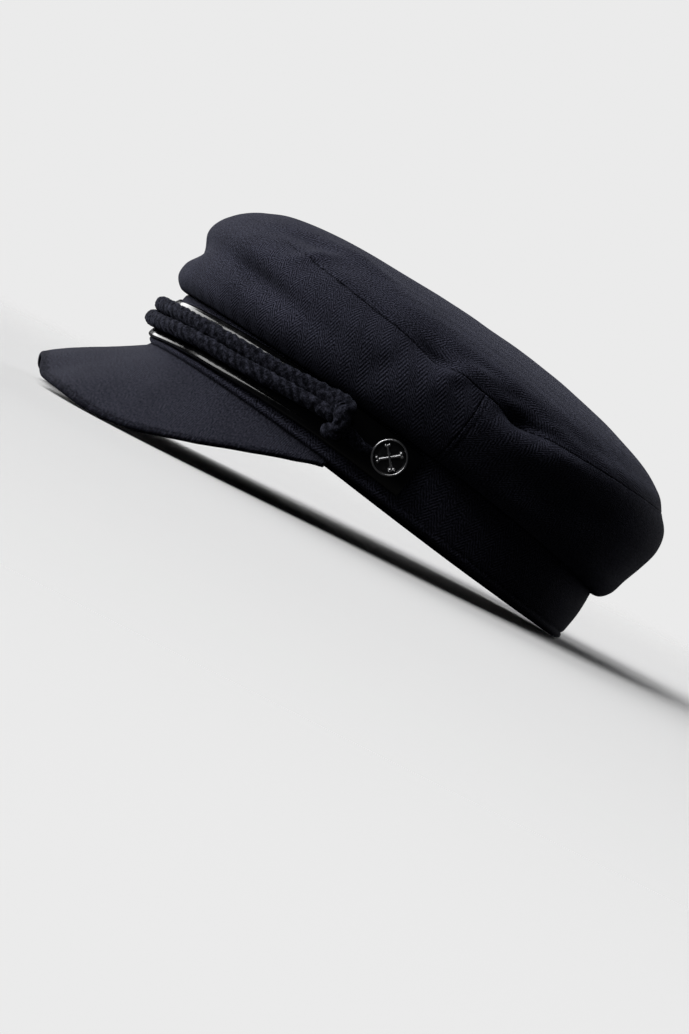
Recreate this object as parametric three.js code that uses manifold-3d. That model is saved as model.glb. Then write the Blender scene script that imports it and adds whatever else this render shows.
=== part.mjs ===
// A seaman's peaked wool cap: a soft round crown of three cloth panels on an upright head band,
// a cloth peak, and round the front a leather strap with two cords and a button at each end.
// Millimetres. +Z up, the peak looks towards -Y, the wearer's left is +X.
import * as THREE from 'three';
import { mergeVertices } from 'three/addons/utils/BufferGeometryUtils.js';
import Module from 'manifold-3d';

const wasm = await Module();
wasm.setup();

// Driving sizes. The band's oval is measured from its middle to the front, a side and the back.
const BAND_OUT = { front: 101.2, side: 82, back: 102.9 };
const BAND_WALL = 2.4;
const BAND_SWELL = 0.9;
const BAND_TOP = { front: 24.6, side: 27.6, back: 23.2 };
const BAND_ROLL = 0.7;
const BAND_ROLL_HEIGHT = 3.2;
const CROWN_WALL = 2;
const PEAK_WALL = 2.5;
const PEAK_DROP = 0.3;
const PEAK_ARCH = 1.2;
const STRAP_WIDTH = 18.6;
const STRAP_WALL = 1.3;
const STRAP_END_AZIMUTH = 88.4;
const BUTTON_RADIUS = 7.3;
const BUTTON_THICKNESS = 3;
const BUTTON_BEVEL = 0.9;
const BUTTON_RIM_WIDTH = 1.1;
const BUTTON_RIM_HEIGHT = 0.9;
const BUTTON_STAND = 5.2;
const BUTTON_SHANK_RADIUS = 2.2;
const BUTTON_PLACE = { azimuth: 82, height: 17.9 };
const BONE = { length: 9.6, shaftRadius: 0.62, lobeRadius: 0.95, lobeSpread: 0.75 };
const BONE_LIFTS = [0.25, 0.75];
const GAP = 0.3;

// How finely the shells are divided.
const HALF_CROWN_COLUMNS = 30;
const PANEL_ROWS = 11;
const TOP_ROWS = 8;
const BAND_COLUMNS = 60;
const PEAK_COLUMNS = 34;
const PEAK_ROWS = 6;
const STRAP_COLUMNS = 50;
const CORD_SIDES = 8;
const CORD_STEP = 3.6;
const BUTTON_SIDES = 28;

const CLOTH_COLOUR = 0x14161f;
const STRAP_COLOUR = 0x0b0b0d;
const CORD_COLOUR = 0x15161b;
const BUTTON_COLOUR = 0x6d6d70;

// The crown's section, ring by ring from the band's top edge to the middle of the top.
// Each of front, side and back is its distance out from the middle line and its height above the
// band's lower edge.
const CROWN_RINGS = [
  { name: 'band seam', front: [100.6, 25.0], side: [80.2, 28.0], back: [100.8, 23.6] },
  { name: 'lip', front: [104.8, 25.1], side: [85.6, 28.2], back: [106.4, 23.7] },
  { name: 'low swell', front: [108.7, 28.6], side: [91.2, 31.4], back: [109.8, 28.0] },
  { name: 'lower side', front: [109.6, 34.4], side: [94.6, 37.0], back: [111.2, 35.0] },
  { name: 'middle', front: [109.5, 41.2], side: [96.6, 43.8], back: [113.2, 43.4] },
  { name: 'widest', front: [109.8, 49.2], side: [97.2, 50.2], back: [114.6, 52.4] },
  { name: 'shoulder', front: [107.4, 56.8], side: [95.6, 54.8], back: [112.8, 60.4] },
  { name: 'top seam', front: [102.2, 63.8], side: [93.2, 59.2], back: [107.4, 67.0] },
  { name: 'top edge', front: [95.0, 69.4], side: [89.4, 65.2], back: [100.2, 72.9] },
  { name: 'top outer', front: [84.0, 75.0], side: [80.5, 72.0], back: [87.3, 78.3] },
  { name: 'top middle', front: [64.0, 79.4], side: [58.0, 78.6], back: [65.0, 82.4] },
  { name: 'top inner', front: [34.0, 82.6], side: [29.0, 83.2], back: [36.0, 85.4] },
  { name: 'centre', front: [0, 85.3], side: [0, 85.3], back: [0, 85.3] },
];
const TOP_SEAM_RING = 7;
const CENTRE_RING = CROWN_RINGS.length - 1;
const RING_SPACING = 7;
const SEAM_HALF_GAP = 0.18;

// Folds and dents of the soft crown. azimuth is from the front round by the wearer's left in
// degrees, ring is a place in the table above, turn tips the fold's line, along and across are
// its half lengths, and rise is how far the cloth stands out (or, below zero, falls in).
const CROWN_FOLDS = [
  { name: 'front crease', azimuth: -6, ring: 4.15, turn: 5, along: 26, across: 5.8, rise: -4.3 },
  { name: 'front crease, left', azimuth: 33, ring: 4.35, turn: -5, along: 26, across: 4.6, rise: -3.6 },
  { name: 'front crease, right', azimuth: -38, ring: 4.7, turn: 4, along: 30, across: 5.5, rise: -3.0 },
  { name: 'swell over the left crease', azimuth: 30, ring: 5.5, turn: -6, along: 24, across: 6, rise: 1.3 },
  { name: 'swell under the left crease', azimuth: 40, ring: 3.1, turn: -3, along: 34, across: 6, rise: 1.7 },
  { name: 'ridge on top, front left', azimuth: 40, ring: 8.9, turn: 14, along: 18, across: 6, rise: 1.9 },
  { name: 'valley before that ridge', azimuth: 30, ring: 8.1, turn: 22, along: 15, across: 5, rise: -1.7 },
  { name: 'swell before the left seam', azimuth: 58, ring: 5.4, turn: -30, along: 20, across: 6, rise: 0.8 },
  { name: 'upright hollow, left', azimuth: 71, ring: 4.9, turn: 62, along: 15, across: 5, rise: -1.0 },
  { name: 'pucker before the left seam', azimuth: 76.5, ring: 7.5, turn: -8, along: 9, across: 4.5, rise: -2.6 },
  { name: 'upright ridge, left', azimuth: 82, ring: 6.2, turn: 60, along: 12, across: 5, rise: 1.1 },
  { name: 'pucker behind the left seam', azimuth: 99.5, ring: 7.3, turn: 6, along: 13, across: 5, rise: -4.4 },
  { name: 'swell under that pucker', azimuth: 106, ring: 5.9, turn: 8, along: 17, across: 6, rise: 1.7 },
  { name: 'back left ridge', azimuth: 127, ring: 6.8, turn: 8, along: 36, across: 9, rise: 2.6 },
  { name: 'back left hollow', azimuth: 116, ring: 4.0, turn: 12, along: 36, across: 10, rise: -3.4 },
  { name: 'dent by the right seam', azimuth: 262, ring: 7.4, turn: -8, along: 18, across: 6, rise: -3.0 },
  { name: 'back right hollow', azimuth: 240, ring: 4.2, turn: -10, along: 36, across: 10, rise: -3.0 },
  { name: 'back crease', azimuth: 178, ring: 7.2, turn: 0, along: 24, across: 5, rise: -1.6 },
];

// The peak, ruling by ruling from the middle of the front to its corner.
// swing is the ruling's direction from straight ahead and droop its slope below level.
const PEAK_RULINGS = [
  { azimuth: 0, swing: 0, droop: 39.2, reach: 44.9 },
  { azimuth: 5, swing: 3.4, droop: 39.6, reach: 45.4 },
  { azimuth: 13, swing: 8.7, droop: 42, reach: 48.2 },
  { azimuth: 24, swing: 16, droop: 44.6, reach: 51 },
  { azimuth: 34, swing: 23, droop: 46.2, reach: 50.2 },
  { azimuth: 44, swing: 29, droop: 46.5, reach: 44.5 },
  { azimuth: 54, swing: 34, droop: 45, reach: 32.5 },
  { azimuth: 62, swing: 38, droop: 43, reach: 19.5 },
  { azimuth: 68, swing: 42, droop: 41, reach: 9 },
  { azimuth: 72, swing: 46, droop: 38, reach: 2 },
];

// The band's lower edge, level at the front and back and lifted over the temples and ears.
const BAND_EDGE = [
  { azimuth: 0, height: 0 },
  { azimuth: 15, height: 1.0 },
  { azimuth: 30, height: 1.9 },
  { azimuth: 50, height: 2.6 },
  { azimuth: 70, height: 2.6 },
  { azimuth: 90, height: 1.9 },
  { azimuth: 110, height: 0.9 },
  { azimuth: 130, height: 0.2 },
  { azimuth: 150, height: 0 },
  { azimuth: 180, height: 0 },
];

// Height of the strap's middle line above the band's lower edge.
const STRAP_LINE = [
  { azimuth: 0, height: 11.6 },
  { azimuth: 18, height: 13.4 },
  { azimuth: 36, height: 15.2 },
  { azimuth: 54, height: 16.7 },
  { azimuth: 66, height: 17.4 },
  { azimuth: 78, height: 17.3 },
  { azimuth: 90, height: 16.8 },
];

// The cords' routes over the strap, from the middle of the front to the wearer's left; the right
// side is the same. stand is the cord's middle line off the band's surface.
const LOWER_CORD_ROUTE = [
  { azimuth: 0, height: 8.9, stand: 4.9, radius: 3.0 },
  { azimuth: 15, height: 10.0, stand: 4.9, radius: 3.0 },
  { azimuth: 30, height: 12.3, stand: 4.9, radius: 3.0 },
  { azimuth: 44, height: 13.9, stand: 5.2, radius: 3.0 },
  { azimuth: 53, height: 15.6, stand: 7.2, radius: 3.0 },
  { azimuth: 60, height: 17.1, stand: 9.0, radius: 2.8 },
  { azimuth: 66, height: 17.8, stand: 9.4, radius: 2.5 },
  { azimuth: 70.4, height: 17.2, stand: 8.8, radius: 2.5 },
  { azimuth: 74, height: 15.9, stand: 5.6, radius: 2.4 },
  { azimuth: 76.6, height: 15.2, stand: 3.9, radius: 1.7 },
  { azimuth: 79.2, height: 15.8, stand: 3.2, radius: 1.2 },
];
const UPPER_CORD_ROUTE = [
  { azimuth: 0, height: 16.1, stand: 4.9, radius: 3.0 },
  { azimuth: 15, height: 16.8, stand: 4.9, radius: 3.0 },
  { azimuth: 30, height: 18.3, stand: 4.9, radius: 3.0 },
  { azimuth: 44, height: 19.8, stand: 4.9, radius: 3.0 },
  { azimuth: 56, height: 21.3, stand: 4.9, radius: 3.0 },
  { azimuth: 63, height: 22.6, stand: 4.9, radius: 2.9 },
  { azimuth: 67, height: 24.0, stand: 5.4, radius: 2.8 },
  { azimuth: 69.6, height: 25.0, stand: 7.8, radius: 2.8 },
  { azimuth: 71, height: 24.4, stand: 11.2, radius: 2.8 },
  { azimuth: 71.4, height: 21.2, stand: 14.2, radius: 2.7 },
  { azimuth: 70.6, height: 16.6, stand: 15.3, radius: 2.6 },
  { azimuth: 69.4, height: 12.4, stand: 13.6, radius: 2.6 },
  { azimuth: 68.8, height: 10.6, stand: 9.6, radius: 2.5 },
  { azimuth: 68.8, height: 11.8, stand: 5.8, radius: 2.2 },
];

const radians = THREE.MathUtils.degToRad;

// A smooth curve through one column of a table, read at a place counted in rows.
function columnCurve(values) {
  const curve = new THREE.SplineCurve(values.map((value, i) => new THREE.Vector2(i, value)));
  const last = values.length - 1;
  return (place) => curve.getPoint(THREE.MathUtils.clamp(place / last, 0, 1)).y;
}

// The same for a table whose rows are spaced by their azimuth column. Left and right are alike.
function azimuthCurve(rows, column) {
  const value = columnCurve(rows.map((row) => row[column]));
  return (azimuth) => {
    const fromFront = Math.abs(THREE.MathUtils.euclideanModulo(azimuth + 180, 360) - 180);
    const wanted = Math.min(fromFront, rows[rows.length - 1].azimuth);
    const next = Math.max(1, rows.findIndex((row) => row.azimuth >= wanted));
    const before = rows[next - 1];
    const part = (wanted - before.azimuth) / (rows[next].azimuth - before.azimuth);
    return value(next - 1 + part);
  };
}

// A point on an oval whose front and back halves share their width.
function ovalPoint(azimuth, { front, side, back }, height) {
  const turn = radians(azimuth);
  const length = Math.cos(turn) > 0 ? front : back;
  return new THREE.Vector3(side * Math.sin(turn), -length * Math.cos(turn), height);
}

// A height that passes from the side's value to the front's or the back's.
function heightRound(azimuth, { front, side, back }) {
  const lengthwise = Math.cos(radians(azimuth));
  const end = lengthwise > 0 ? front : back;
  return side + (end - side) * lengthwise * lengthwise;
}

// The crown's distances out and its heights at any place between two rings.
const [ringOut, ringUp] = [0, 1].map((measure) => {
  const front = columnCurve(CROWN_RINGS.map((ring) => ring.front[measure]));
  const side = columnCurve(CROWN_RINGS.map((ring) => ring.side[measure]));
  const back = columnCurve(CROWN_RINGS.map((ring) => ring.back[measure]));
  return (ring) => ({ front: front(ring), side: side(ring), back: back(ring) });
});

// The crown's outer face before any fold.
function smoothCrown(azimuth, ring) {
  return ovalPoint(azimuth, ringOut(ring), heightRound(azimuth, ringUp(ring)));
}

// The outward direction of a surface that runs round by azimuth and up by its second measure.
function outwardNormal(surface, azimuth, second, azimuthStep, secondStep) {
  const round = surface(azimuth + azimuthStep, second).sub(surface(azimuth - azimuthStep, second));
  const upward = surface(azimuth, second + secondStep).sub(surface(azimuth, second - secondStep));
  return round.cross(upward).normalize();
}

function crownNormal(surface, azimuth, ring) {
  const inside = Math.min(ring, CENTRE_RING - 0.05);
  return outwardNormal(surface, azimuth, inside, 0.5, 0.04);
}

// Each fold is a soft oval patch in its own directions: along its line, across it and outward.
const foldPatches = CROWN_FOLDS.map((fold) => {
  const centre = smoothCrown(fold.azimuth, fold.ring);
  const outward = crownNormal(smoothCrown, fold.azimuth, fold.ring);
  const level = smoothCrown(fold.azimuth + 1, fold.ring).sub(smoothCrown(fold.azimuth - 1, fold.ring));
  const along = level.normalize().applyAxisAngle(outward, radians(fold.turn));
  const across = outward.clone().cross(along);
  return { ...fold, centre, outward, lineAlong: along, lineAcross: across };
});

function foldRise(point) {
  let rise = 0;
  for (const patch of foldPatches) {
    const offset = point.clone().sub(patch.centre);
    const along = offset.dot(patch.lineAlong) / patch.along;
    const across = offset.dot(patch.lineAcross) / patch.across;
    const depth = offset.dot(patch.outward) / patch.along;
    rise += patch.rise * Math.exp(-(along * along + across * across + depth * depth));
  }
  return rise;
}

// The seams hold the cloth, so the folds fade out at the band's edge.
function crownFace(azimuth, ring) {
  const point = smoothCrown(azimuth, ring);
  const hold = THREE.MathUtils.smoothstep(ring, 0.5, 2.5);
  return point.addScaledVector(crownNormal(smoothCrown, azimuth, ring), hold * foldRise(point));
}

function crownLining(azimuth, ring) {
  return crownFace(azimuth, ring).addScaledVector(crownNormal(crownFace, azimuth, ring), -CROWN_WALL);
}

// The head band's outer face at a height above its lower edge.
function bandFace(azimuth, height) {
  const swell = BAND_SWELL * Math.sin(Math.PI * THREE.MathUtils.clamp(height / BAND_TOP.front, 0, 1));
  return ovalPoint(azimuth, BAND_OUT, height).addScaledVector(bandNormal(azimuth), swell);
}

function bandNormal(azimuth) {
  const turn = radians(azimuth);
  const length = Math.cos(turn) > 0 ? BAND_OUT.front : BAND_OUT.back;
  return new THREE.Vector3(Math.sin(turn) / BAND_OUT.side, -Math.cos(turn) / length, 0).normalize();
}

function offBand(azimuth, height, stand) {
  return bandFace(azimuth, height).addScaledVector(bandNormal(azimuth), stand);
}

// A closed wall between an outer and an inner face, both given by column and row.
// ring joins the last column to the first, and pole draws the last row together to one point.
function shellGeometry({ columns, rows, outer, inner, ring = false, pole = false }) {
  const positions = [];
  const indices = [];
  const columnCount = ring ? columns : columns + 1;
  const fullRows = pole ? rows : rows + 1;
  const addFace = (face) => {
    const first = positions.length / 3;
    for (let row = 0; row < fullRows; row += 1) {
      for (let column = 0; column < columnCount; column += 1) {
        positions.push(...face(column, row).toArray());
      }
    }
    if (pole) positions.push(...face(0, rows).toArray());
    return (column, row) => {
      if (pole && row === rows) return first + fullRows * columnCount;
      return first + row * columnCount + (column % columnCount);
    };
  };
  const out = addFace(outer);
  const inn = addFace(inner);
  const quad = (a, b, c, d) => {
    if (c === d) indices.push(a, b, c);
    else indices.push(a, b, c, a, c, d);
  };
  for (let row = 0; row < rows; row += 1) {
    for (let column = 0; column < columns; column += 1) {
      const corners = (index) => [
        index(column, row),
        index(column + 1, row),
        index(column + 1, row + 1),
        index(column, row + 1),
      ];
      const [a, b, c, d] = corners(out);
      quad(a, b, c, d);
      const [e, f, g, h] = corners(inn);
      if (g === h) indices.push(f, e, g);
      else indices.push(f, e, h, f, h, g);
    }
  }
  for (let column = 0; column < columns; column += 1) {
    const next = column + 1;
    quad(out(next, 0), out(column, 0), inn(column, 0), inn(next, 0));
    if (!pole) quad(out(column, rows), out(next, rows), inn(next, rows), inn(column, rows));
  }
  if (!ring) {
    for (let row = 0; row < rows; row += 1) {
      const above = row + 1;
      quad(out(0, row), out(0, above), inn(0, above), inn(0, row));
      quad(out(columns, above), out(columns, row), inn(columns, row), inn(columns, above));
    }
  }
  const geometry = new THREE.BufferGeometry();
  geometry.setAttribute('position', new THREE.Float32BufferAttribute(positions, 3));
  geometry.setIndex(indices);
  geometry.computeVertexNormals();
  return geometry;
}

// The round top panel, drawn in to the middle of the crown.
function crownTopGeometry() {
  const columns = 2 * HALF_CROWN_COLUMNS;
  const firstRing = TOP_SEAM_RING + SEAM_HALF_GAP / RING_SPACING;
  const place = (column, row) => [
    (360 / columns) * column,
    firstRing + ((CENTRE_RING - firstRing) * row) / TOP_ROWS,
  ];
  return shellGeometry({
    columns,
    rows: TOP_ROWS,
    ring: true,
    pole: true,
    outer: (column, row) => crownFace(...place(column, row)),
    inner: (column, row) => crownLining(...place(column, row)),
  });
}

// A half of the crown's side, from the middle of one side of the head to the other.
function crownSideGeometry(firstAzimuth) {
  const halfGap = THREE.MathUtils.radToDeg(SEAM_HALF_GAP / BAND_OUT.front);
  const span = 180 - 2 * halfGap;
  const lastRing = TOP_SEAM_RING - SEAM_HALF_GAP / RING_SPACING;
  const place = (column, row) => [
    firstAzimuth + halfGap + (span * column) / HALF_CROWN_COLUMNS,
    (lastRing * row) / PANEL_ROWS,
  ];
  return shellGeometry({
    columns: HALF_CROWN_COLUMNS,
    rows: PANEL_ROWS,
    outer: (column, row) => crownFace(...place(column, row)),
    inner: (column, row) => crownLining(...place(column, row)),
  });
}

const bandEdge = azimuthCurve(BAND_EDGE, 'height');

function headBandGeometry() {
  const face = (stand) => (column, row) => {
    const azimuth = (360 / BAND_COLUMNS) * column;
    const edge = bandEdge(azimuth);
    const top = heightRound(azimuth, BAND_TOP);
    const heights = [edge, edge + BAND_ROLL_HEIGHT, (edge + top) / 2, top];
    return offBand(azimuth, heights[row], stand - (row === 0 ? BAND_ROLL : 0));
  };
  return shellGeometry({
    columns: BAND_COLUMNS,
    rows: 3,
    ring: true,
    outer: face(0),
    inner: face(-BAND_WALL),
  });
}

const peakSwing = azimuthCurve(PEAK_RULINGS, 'swing');
const peakDroop = azimuthCurve(PEAK_RULINGS, 'droop');
const peakReach = azimuthCurve(PEAK_RULINGS, 'reach');

// The peak's upper face: part runs from 0 at the band to 1 at the edge.
function peakFace(azimuth, part) {
  const swing = radians(Math.sign(azimuth) * peakSwing(azimuth));
  const droop = radians(peakDroop(azimuth));
  const reach = peakReach(azimuth) * part;
  const level = reach * Math.cos(droop);
  const direction = new THREE.Vector3(Math.sin(swing) * level, -Math.cos(swing) * level, 0);
  const root = offBand(azimuth, bandEdge(azimuth), GAP - BAND_ROLL);
  root.z -= PEAK_DROP;
  const arch = PEAK_ARCH * Math.sin(Math.PI * part) * (reach / PEAK_RULINGS[0].reach);
  return root.add(direction).add(new THREE.Vector3(0, 0, arch - reach * Math.sin(droop)));
}

function peakGeometry() {
  const corner = PEAK_RULINGS[PEAK_RULINGS.length - 1].azimuth;
  const place = (column, row) => [-corner + (2 * corner * column) / PEAK_COLUMNS, row / PEAK_ROWS];
  const upper = (column, row) => peakFace(...place(column, row));
  const lower = (column, row) => {
    const [azimuth, part] = place(column, row);
    const kept = THREE.MathUtils.clamp(azimuth, -corner + 1, corner - 1);
    const normal = outwardNormal(peakFace, kept, THREE.MathUtils.clamp(part, 0.05, 0.95), 0.8, 0.05);
    return peakFace(azimuth, part).addScaledVector(normal, normal.z > 0 ? -PEAK_WALL : PEAK_WALL);
  };
  return shellGeometry({
    columns: PEAK_COLUMNS,
    rows: PEAK_ROWS,
    outer: lower,
    inner: upper,
  });
}

const strapHeight = azimuthCurve(STRAP_LINE, 'height');

function strapGeometry() {
  const face = (stand) => (column, row) => {
    const azimuth = -STRAP_END_AZIMUTH + (2 * STRAP_END_AZIMUTH * column) / STRAP_COLUMNS;
    return offBand(azimuth, strapHeight(azimuth) + STRAP_WIDTH * (row / 2 - 0.5), stand);
  };
  return shellGeometry({
    columns: STRAP_COLUMNS,
    rows: 2,
    outer: face(GAP + STRAP_WALL),
    inner: face(GAP),
  });
}

// A cord swept along points that each have their own radius, with flat ends.
function cordGeometry(route) {
  const mirrored = route.slice(1).reverse().map((stop) => ({ ...stop, azimuth: -stop.azimuth }));
  const stops = [...mirrored, ...route];
  const points = stops.map((stop) => offBand(stop.azimuth, stop.height, stop.stand));
  const curve = new THREE.CatmullRomCurve3(points);
  const rings = [];
  for (let i = 0; i < stops.length - 1; i += 1) {
    const steps = Math.max(1, Math.round(points[i].distanceTo(points[i + 1]) / CORD_STEP));
    for (let step = 0; step < steps; step += 1) {
      const part = step / steps;
      rings.push({
        centre: curve.getPoint((i + part) / (stops.length - 1)),
        radius: THREE.MathUtils.lerp(stops[i].radius, stops[i + 1].radius, part),
      });
    }
  }
  rings.push({ centre: points[points.length - 1], radius: stops[stops.length - 1].radius });

  const positions = [];
  const indices = [];
  const across = new THREE.Vector3(0, 0, 1);
  rings.forEach(({ centre, radius }, i) => {
    const before = rings[Math.max(i - 1, 0)].centre;
    const after = rings[Math.min(i + 1, rings.length - 1)].centre;
    const tangent = after.clone().sub(before).normalize();
    across.addScaledVector(tangent, -across.dot(tangent)).normalize();
    const sideways = tangent.clone().cross(across);
    for (let side = 0; side < CORD_SIDES; side += 1) {
      const turn = (2 * Math.PI * side) / CORD_SIDES;
      const point = centre.clone();
      point.addScaledVector(across, radius * Math.cos(turn));
      point.addScaledVector(sideways, radius * Math.sin(turn));
      positions.push(...point.toArray());
    }
  });
  for (let i = 0; i < rings.length - 1; i += 1) {
    for (let side = 0; side < CORD_SIDES; side += 1) {
      const a = i * CORD_SIDES + side;
      const b = i * CORD_SIDES + ((side + 1) % CORD_SIDES);
      indices.push(a, b, b + CORD_SIDES, a, b + CORD_SIDES, a + CORD_SIDES);
    }
  }
  const lastRing = (rings.length - 1) * CORD_SIDES;
  for (let side = 1; side < CORD_SIDES - 1; side += 1) {
    indices.push(0, side + 1, side);
    indices.push(lastRing, lastRing + side, lastRing + side + 1);
  }
  const geometry = new THREE.BufferGeometry();
  geometry.setAttribute('position', new THREE.Float32BufferAttribute(positions, 3));
  geometry.setIndex(indices);
  geometry.computeVertexNormals();
  return geometry;
}

// A closed mesh as a solid that can be joined to another.
function solidFrom(geometry) {
  const bare = geometry.clone();
  bare.deleteAttribute('normal');
  bare.deleteAttribute('uv');
  const merged = mergeVertices(bare, 1e-4);
  return new wasm.Manifold(new wasm.Mesh({
    numProp: 3,
    vertProperties: new Float32Array(merged.attributes.position.array),
    triVerts: new Uint32Array(merged.index.array),
  }));
}

function geometryFrom(solid) {
  const mesh = solid.getMesh();
  const geometry = new THREE.BufferGeometry();
  geometry.setAttribute('position', new THREE.BufferAttribute(new Float32Array(mesh.vertProperties), 3));
  geometry.setIndex(new THREE.BufferAttribute(new Uint32Array(mesh.triVerts), 1));
  geometry.computeVertexNormals();
  return geometry;
}

// A bone of the button's relief, lying in the button's field: a shaft with two lobes at each end.
function boneSolid(turn, lift) {
  const parts = [new THREE.CylinderGeometry(BONE.shaftRadius, BONE.shaftRadius, BONE.length, 6)];
  for (const end of [-1, 1]) {
    for (const side of [-1, 1]) {
      const lobe = new THREE.IcosahedronGeometry(BONE.lobeRadius, 0);
      lobe.translate(side * BONE.lobeSpread, (end * BONE.length) / 2, 0);
      parts.push(lobe);
    }
  }
  const solids = parts.map((part) => {
    part.rotateZ(turn);
    part.translate(0, 0, lift);
    return solidFrom(part);
  });
  return solids.reduce((whole, part) => whole.add(part));
}

// The button lies with its back on z = 0 and its shank below.
function buttonGeometry() {
  const shankEnd = STRAP_WALL + 2 * GAP - BUTTON_STAND;
  const rimInner = BUTTON_RADIUS - BUTTON_RIM_WIDTH;
  const field = BUTTON_THICKNESS - BUTTON_RIM_HEIGHT;
  const profile = [
    [0, shankEnd],
    [BUTTON_SHANK_RADIUS, shankEnd],
    [BUTTON_SHANK_RADIUS, 0],
    [BUTTON_RADIUS - BUTTON_BEVEL, 0],
    [BUTTON_RADIUS, BUTTON_BEVEL],
    [BUTTON_RADIUS, BUTTON_THICKNESS - BUTTON_BEVEL / 2],
    [BUTTON_RADIUS - BUTTON_BEVEL / 2, BUTTON_THICKNESS],
    [rimInner, BUTTON_THICKNESS],
    [rimInner - BUTTON_BEVEL / 3, field],
    [0, field],
  ].map(([radius, height]) => new THREE.Vector2(radius, height));
  const body = new THREE.LatheGeometry(profile, BUTTON_SIDES);
  body.rotateX(Math.PI / 2);
  const bones = [
    boneSolid(radians(45), field + BONE_LIFTS[0]),
    boneSolid(radians(-45), field + BONE_LIFTS[1]),
  ];
  return geometryFrom(bones.reduce((whole, bone) => whole.add(bone), solidFrom(body)));
}

function piece(name, geometry, finish) {
  const mesh = new THREE.Mesh(geometry, new THREE.MeshStandardMaterial(finish));
  mesh.name = name;
  return mesh;
}

// Places a button flat on the band with its face outward.
function placeButton(mesh, side) {
  const azimuth = side * BUTTON_PLACE.azimuth;
  const outward = bandNormal(azimuth);
  const up = new THREE.Vector3(0, 0, 1);
  const across = up.clone().cross(outward);
  mesh.quaternion.setFromRotationMatrix(new THREE.Matrix4().makeBasis(across, up, outward));
  mesh.position.copy(offBand(azimuth, BUTTON_PLACE.height, BUTTON_STAND));
  return mesh;
}

const cloth = { color: CLOTH_COLOUR, roughness: 0.95, metalness: 0 };
const patentLeather = { color: STRAP_COLOUR, roughness: 0.2, metalness: 0 };
const braid = { color: CORD_COLOUR, roughness: 1, metalness: 0 };
const pewter = { color: BUTTON_COLOUR, roughness: 0.4, metalness: 1 };

const crown = new THREE.Group();
crown.add(piece('crown_top_panel', crownTopGeometry(), cloth));
crown.add(piece('crown_front_panel', crownSideGeometry(-90), cloth));
crown.add(piece('crown_back_panel', crownSideGeometry(90), cloth));

const trim = new THREE.Group();
trim.add(piece('leather_strap', strapGeometry(), patentLeather));
trim.add(piece('cord_lower', cordGeometry(LOWER_CORD_ROUTE), braid));
trim.add(piece('cord_upper', cordGeometry(UPPER_CORD_ROUTE), braid));
trim.add(placeButton(piece('button_left', buttonGeometry(), pewter), 1));
trim.add(placeButton(piece('button_right', buttonGeometry(), pewter), -1));

const hat = new THREE.Group();
hat.add(crown);
hat.add(piece('head_band', headBandGeometry(), cloth));
hat.add(piece('peak', peakGeometry(), cloth));
hat.add(trim);

// Laid down, the cap rests on the back of its band and on the two low places of its peak's edge.
function restingTilt() {
  const heel = offBand(180, 0, -BAND_ROLL);
  const vertices = hat.getObjectByName('peak').geometry.attributes.position;
  let tilt = 0;
  for (let i = 0; i < vertices.count; i += 1) {
    tilt = Math.max(tilt, Math.atan2(heel.z - vertices.getZ(i), heel.y - vertices.getY(i)));
  }
  return tilt;
}

hat.rotation.x = -restingTilt();
const part = new THREE.Group();
part.add(hat);
part.updateMatrixWorld(true);
const extent = new THREE.Box3().setFromObject(part, true);
hat.position.set(
  -(extent.min.x + extent.max.x) / 2,
  -(extent.min.y + extent.max.y) / 2,
  -extent.min.z,
);

export default part;
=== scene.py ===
"""A seaman's peaked cap of dark herringbone wool, with a patent strap, two cords and pewter buttons."""
import math

import bmesh
import bpy
import numpy as np
from mathutils import Matrix, Vector, noise


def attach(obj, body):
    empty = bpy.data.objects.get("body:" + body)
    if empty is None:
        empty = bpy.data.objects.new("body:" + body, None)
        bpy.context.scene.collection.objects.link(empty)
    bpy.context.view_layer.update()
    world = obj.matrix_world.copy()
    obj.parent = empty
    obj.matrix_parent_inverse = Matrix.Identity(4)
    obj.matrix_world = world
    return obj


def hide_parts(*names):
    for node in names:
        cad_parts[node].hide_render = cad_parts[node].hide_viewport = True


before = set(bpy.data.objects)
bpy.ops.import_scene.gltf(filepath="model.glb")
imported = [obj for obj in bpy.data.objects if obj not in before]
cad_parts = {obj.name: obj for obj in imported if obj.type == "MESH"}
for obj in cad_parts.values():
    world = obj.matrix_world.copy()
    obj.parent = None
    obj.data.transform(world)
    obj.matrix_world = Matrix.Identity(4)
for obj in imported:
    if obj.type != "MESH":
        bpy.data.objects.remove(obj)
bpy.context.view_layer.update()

# Sizes are in millimetres in the cap's own frame: +Z up from the band's lower edge, the peak
# towards -Y, the wearer's left +X. Azimuth is in degrees from the front round by the left.
MM = 0.001

# How far the band's face lies out, and how high its top is, at the front, the sides and the back.
BAND_OUT = (101.2, 82, 102.9)
BAND_TOP = (24.6, 27.6, 23.2)
BAND_WALL = 2.4
BAND_SWELL = 0.9
BAND_ROLL = 0.7
CROWN_WALL = 2
PEAK_WALL = 2.5
PEAK_DROP = 0.3
PEAK_ARCH = 1.2
STRAP_WIDTH = 18.6
STRAP_WALL = 1.3
STRAP_END = 88.4
BUTTON_AZIMUTH = 82
BUTTON_HEIGHT = 17.9
BUTTON_STAND = 5.2
GAP = 0.3
REST_TILT = math.radians(9.4605)

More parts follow.
